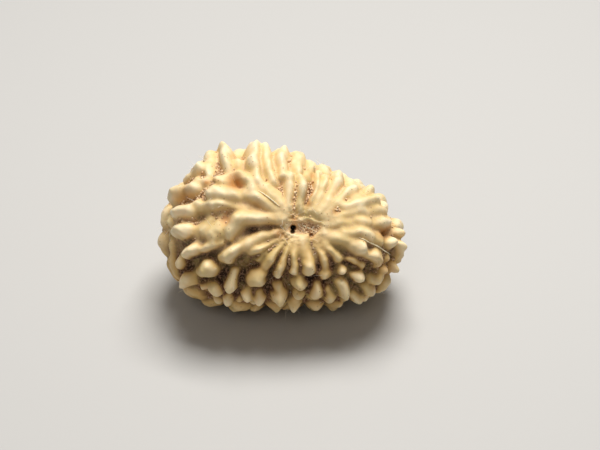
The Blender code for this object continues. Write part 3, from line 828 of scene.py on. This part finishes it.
def tube(path, radii):
    """Points and faces of a thin open tube along a path."""
    along = np.gradient(path, axis=0)
    along /= np.linalg.norm(along, axis=1)[:, None]
    side = np.cross(along, ASKEW)
    side /= np.linalg.norm(side, axis=1)[:, None]
    other = np.cross(along, side)
    turns = 2 * math.pi * np.arange(TUBE_SIDES) / TUBE_SIDES
    ring = np.cos(turns)[None, :, None] * side[:, None, :] + np.sin(turns)[None, :, None] * other[:, None, :]
    points = (path[:, None, :] + ring * np.asarray(radii)[:, None, None]).reshape(-1, 3)
    faces = []
    for step in range(len(path) - 1):
        for turn in range(TUBE_SIDES):
            a = step * TUBE_SIDES + turn
            b = step * TUBE_SIDES + (turn + 1) % TUBE_SIDES
            faces += [(a, b, b + TUBE_SIDES), (a, b + TUBE_SIDES, a + TUBE_SIDES)]
    return points, np.array(faces)


def joined(tubes):
    """The points and faces of many tubes as one set."""
    points = np.concatenate([item[0] for item in tubes])
    starts = np.cumsum([0] + [len(item[0]) for item in tubes[:-1]])
    return points, np.concatenate([item[1] + start for item, start in zip(tubes, starts)])


print("a tube has", TUBE_SIDES, "sides")

# %% [markdown]
# The threads lie on the stone, so each place of their path is dropped onto the finished relief. A real
# thread is taut and bridges the dips, so a place that hangs below the middle of its neighbours is lifted
# to it, many times.

# %% Threads over the ribs
THREADS = (
    ((8.9, -1.3), (11.2, -2.3), (13.4, -3.7)),
    ((-4.9, 5.1), (-3.4, 4.2), (-2.0, 3.0)),
    ((0.6, 0.7), (1.8, 0.1), (3.0, -0.5)),
)
THREAD_RADIUS = 0.1
THREAD_LIFT = 0.6
THREAD_PULLS = 40
THREAD_SMOOTHINGS = 2
THREAD_WIDTHS = (0.8, 1.2)
END_TAPER = 0.15

stone_tree = BVHTree.FromPolygons(surface_points.tolist(), faces_of(stone.data))
thread_tubes = []
for path in THREADS:
    places = []
    for place in refined(refined(path)):
        hit, away = cast_down(stone_tree, place)
        places.append(np.array(hit) + THREAD_LIFT * THREAD_RADIUS * np.array(away))
    places = np.array(places)
    for _ in range(THREAD_PULLS):
        places[1:-1, 2] = np.maximum(places[1:-1, 2], 0.5 * (places[:-2, 2] + places[2:, 2]))
    for _ in range(THREAD_SMOOTHINGS):
        places[1:-1] = 0.5 * places[1:-1] + 0.25 * (places[:-2] + places[2:])
    taper = np.sin(np.linspace(END_TAPER, math.pi - END_TAPER, len(places)))
    thread_tubes.append(tube(places, THREAD_RADIUS * taper * draw.uniform(*THREAD_WIDTHS, len(places))))
threads = piece_from("threads", *joined(thread_tubes))
print(len(threads.data.polygons), "triangles in the threads")

# %% [markdown]
# The fibres start on the stone and bend away from it. There are a few everywhere and tufts of them along
# the outline, where the torn skin of the fruit is left.

# %% Fibres
FIBRES = 260
FIBRE_RADIUS = 0.02
FIBRE_TIP = 0.4
FIBRE_LENGTHS = (0.35, 1.1)
FIBRE_POINTS = 6
FIBRE_ANYWHERE = 0.012
FIBRE_OUTWARD = 0.5
FIBRE_SIDEWAYS = 0.6
FIBRE_BEND = 0.35
FIBRE_SPOTS = (
    ((-16.2, 7.2), 0.9, 1.0),
    ((-14.1, 8.6), 0.9, 1.0),
    ((-12.7, 9.7), 0.9, 1.0),
    ((3.4, 8.3), 0.8, 0.8),
    ((9.7, 5.9), 0.8, 0.8),
    ((-18.0, 1.0), 0.8, 0.4),
    ((1.4, 0.0), 2.5, 0.4),
    ((-12.0, 4.4), 2.5, 0.3),
)

fibre_chance = FIBRE_ANYWHERE + spots(surface_points, FIBRE_SPOTS)
roots = draw.choice(len(fibre_chance), FIBRES, replace=False, p=fibre_chance / fibre_chance.sum())
fibre_tubes = []
for root in roots:
    length = draw.uniform(*FIBRE_LENGTHS)
    sideways = draw.normal(size=3)
    way = surface_outward[root] * FIBRE_OUTWARD + FIBRE_SIDEWAYS * sideways / np.linalg.norm(sideways)
    bend = draw.normal(size=3) * FIBRE_BEND
    out = np.linspace(0.0, 1.0, FIBRE_POINTS)[:, None]
    path = surface_points[root] + length * (out * way + out ** 2 * bend)
    fibre_tubes.append(tube(path, FIBRE_RADIUS * np.linspace(1.0, FIBRE_TIP, FIBRE_POINTS)))
fibres = piece_from("fibres", *joined(fibre_tubes))
print(len(fibres.data.polygons), "triangles in the fibres")

# %% [markdown]
# ## Laying the stone down
#
# The pole leans over towards us, and the stone is brought to real size and set down so that its lowest
# knobs are pressed flat, as they are on the measured solid. All of it is done to the mesh, so that the
# object itself stays at the origin.

# %% Turn, scale and drop
TRIANGLES = 190000

lean = Matrix.Rotation(math.radians(90.0 - POLE_ELEVATION), 4, "X")
stone.data.transform(Matrix.Scale(MM, 4) @ lean)
drop = -coordinates(stone.data)[:, 2].min() - FLAT_DEPTH * MM
stone.data.transform(Matrix.Translation((0.0, 0.0, drop)))


def apply_modifier(piece, kind, **settings):
    """Adds a modifier to a piece and applies it."""
    modifier = piece.modifiers.new(kind.title(), kind)
    for name, value in settings.items():
        setattr(modifier, name, value)
    bpy.context.view_layer.objects.active = piece
    bpy.ops.object.modifier_apply(modifier=modifier.name)


apply_modifier(stone, "DECIMATE", ratio=TRIANGLES / len(stone.data.polygons))
print(len(stone.data.polygons), "triangles")

# %% Flatten the lowest knobs and centre the stone
def above_floor(mesh):
    """The points of a mesh, with none of them below the floor."""
    points = coordinates(mesh)
    points[:, 2] = np.maximum(points[:, 2], 0.0)
    return points


settled = above_floor(stone.data)
low = settled.min(axis=0)
high = settled.max(axis=0)
solid_low, solid_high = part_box("seed")
shift = np.array([(solid_low[0] + solid_high[0]) / 2 - (low[0] + high[0]) / 2,
                  (solid_low[1] + solid_high[1]) / 2 - (low[1] + high[1]) / 2, 0.0])
set_coordinates(stone.data, settled + shift)
bpy.ops.object.select_all(action="DESELECT")
stone.select_set(True)
bpy.context.view_layer.objects.active = stone
bpy.ops.object.shade_smooth()
to_place = Matrix.Translation((shift[0], shift[1], drop)) @ Matrix.Scale(MM, 4) @ lean
for piece in (crumbs, threads, fibres):
    piece.data.transform(to_place)
    set_coordinates(piece.data, above_floor(piece.data))
print("moved by", np.round(shift / MM, 2), "mm")

# %% [markdown]
# ## Paint of the stone
#
# The backs of the ribs are cream. On the lower half of the stone their flanks are golden and the floors
# between them nearly black, a painted shade over the brown remains, and on the upper half, painted as more
# lit, the floors are only tan. Two colour ramps over the stored height do most of it, a shaded one and a lit
# one, mixed by the stored painted shade and grime, and noise breaks up their bands. First come the helpers,
# because every material here is made of the same few kinds of node.

# %% Helpers for materials
def new_material(name):
    """A new material and its main shader."""
    material = bpy.data.materials.new(name)
    material.use_nodes = True
    return material, material.node_tree.nodes["Principled BSDF"]


def node(material, kind, **settings):
    """A new node of this kind with these settings."""
    made = material.node_tree.nodes.new(kind)
    for name, value in settings.items():
        setattr(made, name, value)
    return made


def link(material, source, target):
    """Joins an output socket to an input socket."""
    material.node_tree.links.new(source, target)


def attribute(material, name):
    """One of the stored measures, as a number."""
    return node(material, "ShaderNodeAttribute", attribute_name=name).outputs["Fac"]


print("node helpers ready")

# %% [markdown]
# Noise gives cloudy numbers, and a Voronoi texture gives scattered dots. Both are asked for in the piece's
# own space, so the pattern stays on the stone wherever it lies, and nothing has to be unwrapped.

# %% Helpers for patterns
NOISE_ROUGHNESS = 0.55


def noise_number(material, scale, detail=3.0):
    """Noise over the piece in its own space; the scale is lumps per metre."""
    place = node(material, "ShaderNodeTexCoord")
    texture = node(material, "ShaderNodeTexNoise")
    texture.inputs["Scale"].default_value = scale
    texture.inputs["Detail"].default_value = detail
    texture.inputs["Roughness"].default_value = NOISE_ROUGHNESS
    link(material, place.outputs["Object"], texture.inputs["Vector"])
    return texture.outputs["Fac"]


def dot_distance(material, scale):
    """How far each place is from the nearest of many scattered dots; the scale is dots per metre."""
    place = node(material, "ShaderNodeTexCoord")
    texture = node(material, "ShaderNodeTexVoronoi")
    texture.inputs["Scale"].default_value = scale
    link(material, place.outputs["Object"], texture.inputs["Vector"])
    return texture.outputs["Distance"]


print("pattern helpers ready")

# %% [markdown]
# A ramp turns a number into a colour, a math node joins two numbers, and a mix node joins two colours.
# The mix node has sockets for numbers, arrows and colours under the same names, so they go by number.

# %% Helpers for colours
MIX_SHARE = 0
MIX_COLOURS = (6, 7)
MIX_RESULT = 2


def ramp(material, source, stops):
    """A colour ramp from (place, colour) stops."""
    made = node(material, "ShaderNodeValToRGB")
    elements = made.color_ramp.elements
    while len(elements) < len(stops):
        elements.new(0.5)
    for element, (place, colour) in zip(elements, stops):
        element.position = place
        element.color = (*colour, 1.0)
    link(material, source, made.inputs["Fac"])
    return made.outputs["Color"]


def grey(value):
    """A grey colour of this brightness, for ramps that give a number."""
    return (value,) * 3


def calculate(material, operation, first, second):
    """One operation on two numbers or sockets."""
    made = node(material, "ShaderNodeMath", operation=operation)
    for socket, value in zip(made.inputs, (first, second)):
        if isinstance(value, (int, float)):
            socket.default_value = value
        else:
            link(material, value, socket)
    return made.outputs[0]


def mixed(material, share, first, second):
    """Two colours mixed by a share; each is a socket or a fixed colour."""
    made = node(material, "ShaderNodeMix", data_type="RGBA")
    link(material, share, made.inputs[MIX_SHARE])
    for number, value in zip(MIX_COLOURS, (first, second)):
        if isinstance(value, tuple):
            made.inputs[number].default_value = (*value, 1.0)
        else:
            link(material, value, made.inputs[number])
    return made.outputs[MIX_RESULT]


print("colour helpers ready")

# %% The stone's two ramps
# The first colours are for the lower half, with painted shade that makes the crevice floors nearly black;
# the floor and brown of the upper half are painted as more lit.
SHADED_CREVICE_FLOOR = (0.04, 0.016, 0.007)
BROWN = (0.19, 0.09, 0.034)
GOLD = (0.62, 0.39, 0.135)
TAN = (0.77, 0.555, 0.265)
CREAM = (0.88, 0.715, 0.445)
LIT_CLEAN_FLOOR = (0.70, 0.47, 0.26)
LIT_CLEAN_BROWN = (0.77, 0.565, 0.305)
PALE = (0.88, 0.745, 0.50)
PATCHES_PER_METRE = 420.0
PATCH_STRENGTH = 0.22

paint, shader = new_material("dry_stone_paint")
patches = noise_number(paint, PATCHES_PER_METRE)
patch_shift = calculate(paint, "MULTIPLY", calculate(paint, "SUBTRACT", patches, 0.5), PATCH_STRENGTH)
level = calculate(paint, "ADD", attribute(paint, "height"), patch_shift)
# Painted shade: on the lower half the crevice floors go nearly black, over the brown remains of the fruit.
shaded_and_dirty = ramp(paint, level, ((0.16, SHADED_CREVICE_FLOOR), (0.38, BROWN), (0.53, GOLD), (0.68, TAN), (0.88, CREAM)))
# On the upper half the floors stay tan, painted as more lit.
lit_and_clean = ramp(paint, level, ((0.08, LIT_CLEAN_FLOOR), (0.26, LIT_CLEAN_BROWN), (0.42, TAN), (0.75, PALE)))
# The two are mixed by the painted shade and grime measure.
colour = mixed(paint, attribute(paint, "shade_and_grime"), lit_and_clean, shaded_and_dirty)
print("ramps mixed,", len(paint.node_tree.nodes), "nodes so far")

# %% [markdown]
# An old stone isn't one tan all over. Cloudy patches and a few whole ribs have an olive tint, and small
# brown dots are strewn over parts of it. The dots are the near surroundings of a Voronoi texture's
# points, and a second, wider noise says where there are any.

# %% Olive tint and brown dots
OLIVE = (0.60, 0.45, 0.17)
DOT_BROWN = (0.30, 0.15, 0.06)
CLOUDS_PER_METRE = 260.0
CLOUD_DETAIL = 4.0
CLOUD_FROM = 0.48
CLOUD_FULL = 0.66
CLOUD_STRENGTH = 0.5
GOLDEN_STRENGTH = 0.6
DOTS_PER_METRE = 1500.0
DOT_SIZE = 0.16
DOT_AREAS_PER_METRE = 190.0
DOT_AREA_FROM = 0.52
DOT_STRENGTH = 0.55
COARSE_DETAIL = 2.0

cloudy = noise_number(paint, CLOUDS_PER_METRE, CLOUD_DETAIL)
olive_share = ramp(paint, cloudy, ((CLOUD_FROM, grey(0.0)), (CLOUD_FULL, grey(CLOUD_STRENGTH))))
colour = mixed(paint, olive_share, colour, OLIVE)
golden_share = calculate(paint, "MULTIPLY", attribute(paint, "golden"), GOLDEN_STRENGTH)
colour = mixed(paint, golden_share, colour, OLIVE)
dots = calculate(paint, "LESS_THAN", dot_distance(paint, DOTS_PER_METRE), DOT_SIZE)
dot_areas = noise_number(paint, DOT_AREAS_PER_METRE, COARSE_DETAIL)
dotted = calculate(paint, "MULTIPLY", dots, calculate(paint, "GREATER_THAN", dot_areas, DOT_AREA_FROM))
colour = mixed(paint, calculate(paint, "MULTIPLY", dotted, DOT_STRENGTH), colour, DOT_BROWN)
print("tint and dots added,", len(paint.node_tree.nodes), "nodes so far")

# %% [markdown]
# What is left of the fruit's flesh shows as pinkish specks on the low ground. The slot is tan and the stains
# are rust brown, and the pores are painted black as painted shade in their depths. The patchy noise makes
# the edges of the slot and the stains uneven.

# %% Specks, slot, stains and pores
PINK_SPECK = (0.60, 0.36, 0.22)
SLOT_TAN = (0.76, 0.51, 0.29)
RUST = (0.50, 0.25, 0.08)
PORE_SHADE_BLACK = (0.01, 0.005, 0.003)
LOW_GROUND_TO = 0.40
SPECKS_PER_METRE = 2600.0
SPECK_FROM = 0.54
SPECK_STRENGTH = 0.35
SLOT_BASE = 0.4
STAIN_BASE = 0.7

specks = noise_number(paint, SPECKS_PER_METRE, COARSE_DETAIL)
low_ground = calculate(paint, "LESS_THAN", level, LOW_GROUND_TO)
speckled = calculate(paint, "MULTIPLY", low_ground, calculate(paint, "GREATER_THAN", specks, SPECK_FROM))
colour = mixed(paint, calculate(paint, "MULTIPLY", speckled, SPECK_STRENGTH), colour, PINK_SPECK)
for measure, base, spot_colour in (("slot", SLOT_BASE, SLOT_TAN), ("stain", STAIN_BASE, RUST)):
    uneven = calculate(paint, "ADD", patches, base)
    share = calculate(paint, "MULTIPLY", attribute(paint, measure), uneven)
    colour = mixed(paint, share, colour, spot_colour)
# Painted shade: the deep pores are painted black.
colour = mixed(paint, attribute(paint, "pore"), colour, PORE_SHADE_BLACK)
link(paint, colour, shader.inputs["Base Color"])
print("paint has", len(paint.node_tree.nodes), "nodes")

# %% [markdown]
# The backs have a soft, waxy shine and the floors are dull. Very fine bumps, too small for the mesh, are
# left to the shader, and a little light goes in and comes out again nearby, red further than blue, as it
# does in a nut.

# %% The stone's shine and grain
WAXY = 0.5
DULL = 0.85
DULL_TO = 0.3
WAXY_FROM = 0.65
GRAINS_PER_METRE = 5200.0
GRAIN_STRENGTH = 0.4
GRAIN_HEIGHT = 0.00006
GLOSS = 0.3
GLOW = 0.12
GLOW_REACH = (0.0012, 0.0007, 0.0004)

shine = ramp(paint, level, ((DULL_TO, grey(DULL)), (WAXY_FROM, grey(WAXY))))
link(paint, shine, shader.inputs["Roughness"])
grain = node(paint, "ShaderNodeBump")
grain.inputs["Strength"].default_value = GRAIN_STRENGTH
grain.inputs["Distance"].default_value = GRAIN_HEIGHT
link(paint, noise_number(paint, GRAINS_PER_METRE), grain.inputs["Height"])
link(paint, grain.outputs["Normal"], shader.inputs["Normal"])
shader.inputs["Specular IOR Level"].default_value = GLOSS
shader.inputs["Subsurface Weight"].default_value = GLOW
shader.inputs["Subsurface Radius"].default_value = GLOW_REACH
shader.inputs["Subsurface Scale"].default_value = 1.0
stone.data.materials.clear()
stone.data.materials.append(paint)
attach(stone, "root")
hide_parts("seed")
print("stone dressed")

# %% [markdown]
# The crumbs are dull: pinkish tan where the stone has little painted shade and grime, and dark brown in the
# valleys of the lower half, where they are painted in shade as well as grime. No two are quite the same
# shade.

# %% Paint of the crumbs
CRUMB_DARK = (0.55, 0.34, 0.18)
CRUMB_MIDDLE = (0.74, 0.51, 0.30)
CRUMB_PALE = (0.86, 0.68, 0.44)
# Painted shade with grime: darker crumbs for the shaded valleys of the lower half.
SHADED_GRIMY_DARK = (0.12, 0.055, 0.022)
SHADED_GRIMY_MIDDLE = (0.26, 0.13, 0.06)
SHADED_GRIMY_PALE = (0.44, 0.26, 0.13)
SHADES_PER_METRE = 1500.0
CRUMB_DULLNESS = 0.9

crumb_paint, crumb_shader = new_material("dried_pulp")
shade = noise_number(crumb_paint, SHADES_PER_METRE, COARSE_DETAIL)
pale = ramp(crumb_paint, shade, ((0.36, CRUMB_DARK), (0.5, CRUMB_MIDDLE), (0.64, CRUMB_PALE)))
# Painted shade with grime, for the crumbs of the lower valleys.
shaded_grimy = ramp(crumb_paint, shade, ((0.38, SHADED_GRIMY_DARK), (0.55, SHADED_GRIMY_MIDDLE), (0.72, SHADED_GRIMY_PALE)))
crumb_colour = mixed(crumb_paint, attribute(crumb_paint, "shade_and_grime"), pale, shaded_grimy)
link(crumb_paint, crumb_colour, crumb_shader.inputs["Base Color"])
crumb_shader.inputs["Roughness"].default_value = CRUMB_DULLNESS
crumbs.data.materials.append(crumb_paint)
print("crumb paint has", len(crumb_paint.node_tree.nodes), "nodes")

# %% [markdown]
# Threads are pale yellow and fibres nearly white. They are a fraction of a millimetre thick, so each has
# one plain colour: a pattern on them couldn't be seen.

# %% Paint of the threads and fibres
THREAD_COLOUR = (0.88, 0.79, 0.55)
FIBRE_COLOUR = (0.88, 0.84, 0.74)
FIBRE_DULLNESS = 0.7
PLAIN_PAINTS = ((threads, "seam_thread", THREAD_COLOUR), (fibres, "torn_fibre", FIBRE_COLOUR))

for piece, name, plain_colour in PLAIN_PAINTS:
    plain_paint, plain_shader = new_material(name)
    plain_shader.inputs["Base Color"].default_value = (*plain_colour, 1.0)
    plain_shader.inputs["Roughness"].default_value = FIBRE_DULLNESS
    piece.data.materials.append(plain_paint)
for piece in (crumbs, threads, fibres):
    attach(piece, "root")
print("crumbs, threads and fibres ride with the stone")

# %% [markdown]
# ## Floor, light and camera
#
# The floor is plain and pale, and wide enough to fill the picture from every side.

# %% Floor
FLOOR_SIZE = 3.0
FLOOR_GREY = 0.5
FLOOR_DULLNESS = 0.7

bpy.ops.object.select_all(action="DESELECT")
bpy.ops.mesh.primitive_plane_add(size=FLOOR_SIZE, location=(0.0, 0.0, 0.0))
floor = bpy.context.object
floor.name = "floor"
floor_paint, floor_shader = new_material("pale_floor")
floor_shader.inputs["Base Color"].default_value = (*grey(FLOOR_GREY), 1.0)
floor_shader.inputs["Roughness"].default_value = FLOOR_DULLNESS
floor.data.materials.append(floor_paint)
print("floor", floor.dimensions[:2])

# %% [markdown]
# A large soft light stands nearly overhead, a little behind the stone, so the crevices below each rib
# fall into shade. A weak one from the front and a faint, warm light from all round keep them readable.

# %% Lights
KEY_PLACE = (0.03, 0.08, 0.34)
KEY_SIZE = 0.18
KEY_POWER = 1.66
KEY_COLOUR = (1.0, 0.97, 0.92)
FILL_PLACE = (-0.04, -0.26, 0.30)
FILL_SIZE = 0.12
FILL_POWER = 0.16
FILL_COLOUR = (1.0, 0.96, 0.9)
AROUND_COLOUR = (1.0, 0.95, 0.87)
AROUND_STRENGTH = 0.17


def area_light(name, place, size, power, colour):
    """A square light that faces the stone."""
    bpy.ops.object.light_add(type="AREA", location=place)
    lamp = bpy.context.object
    lamp.name = name
    lamp.data.size = size
    lamp.data.energy = power
    lamp.data.color = colour
    lamp.rotation_mode = "QUATERNION"
    lamp.rotation_quaternion = (-Vector(place)).to_track_quat("-Z", "Y")


area_light("key_light", KEY_PLACE, KEY_SIZE, KEY_POWER, KEY_COLOUR)
area_light("fill_light", FILL_PLACE, FILL_SIZE, FILL_POWER, FILL_COLOUR)
world = bpy.data.worlds.new("studio")
bpy.context.scene.world = world
world.use_nodes = True
background = world.node_tree.nodes["Background"]
background.inputs["Color"].default_value = (*AROUND_COLOUR, 1.0)
background.inputs["Strength"].default_value = AROUND_STRENGTH
bpy.context.scene.view_settings.view_transform = "Standard"

# %% [markdown]
# The camera looks along the pole axis, 38 degrees down on the floor, at a place near the pole. Its
# distance and focal length make a millimetre at the middle of the stone cover the right number of pixels
# in a frame of 600 by 450.

# %% Camera
PIXELS_PER_MM = 7.09
FRAME_WIDTH = 600
AIM = (0.84, 0.42, HALF_DEPTH)
DISTANCE = 0.30
SENSOR = 36.0
NEAREST_SEEN = 0.01

elevation = math.radians(POLE_ELEVATION)
towards_camera = Vector((0.0, -math.cos(elevation), math.sin(elevation)))
bpy.ops.object.camera_add(location=to_place @ Vector(AIM) + towards_camera * DISTANCE)
camera = bpy.context.object
camera.rotation_mode = "QUATERNION"
camera.rotation_quaternion = (-towards_camera).to_track_quat("-Z", "Y")
camera.data.sensor_width = SENSOR
camera.data.lens = SENSOR * (DISTANCE + HALF_DEPTH * MM) * PIXELS_PER_MM / (FRAME_WIDTH * MM)
camera.data.clip_start = NEAREST_SEEN
bpy.context.scene.camera = camera
print("lens", round(camera.data.lens), "mm")
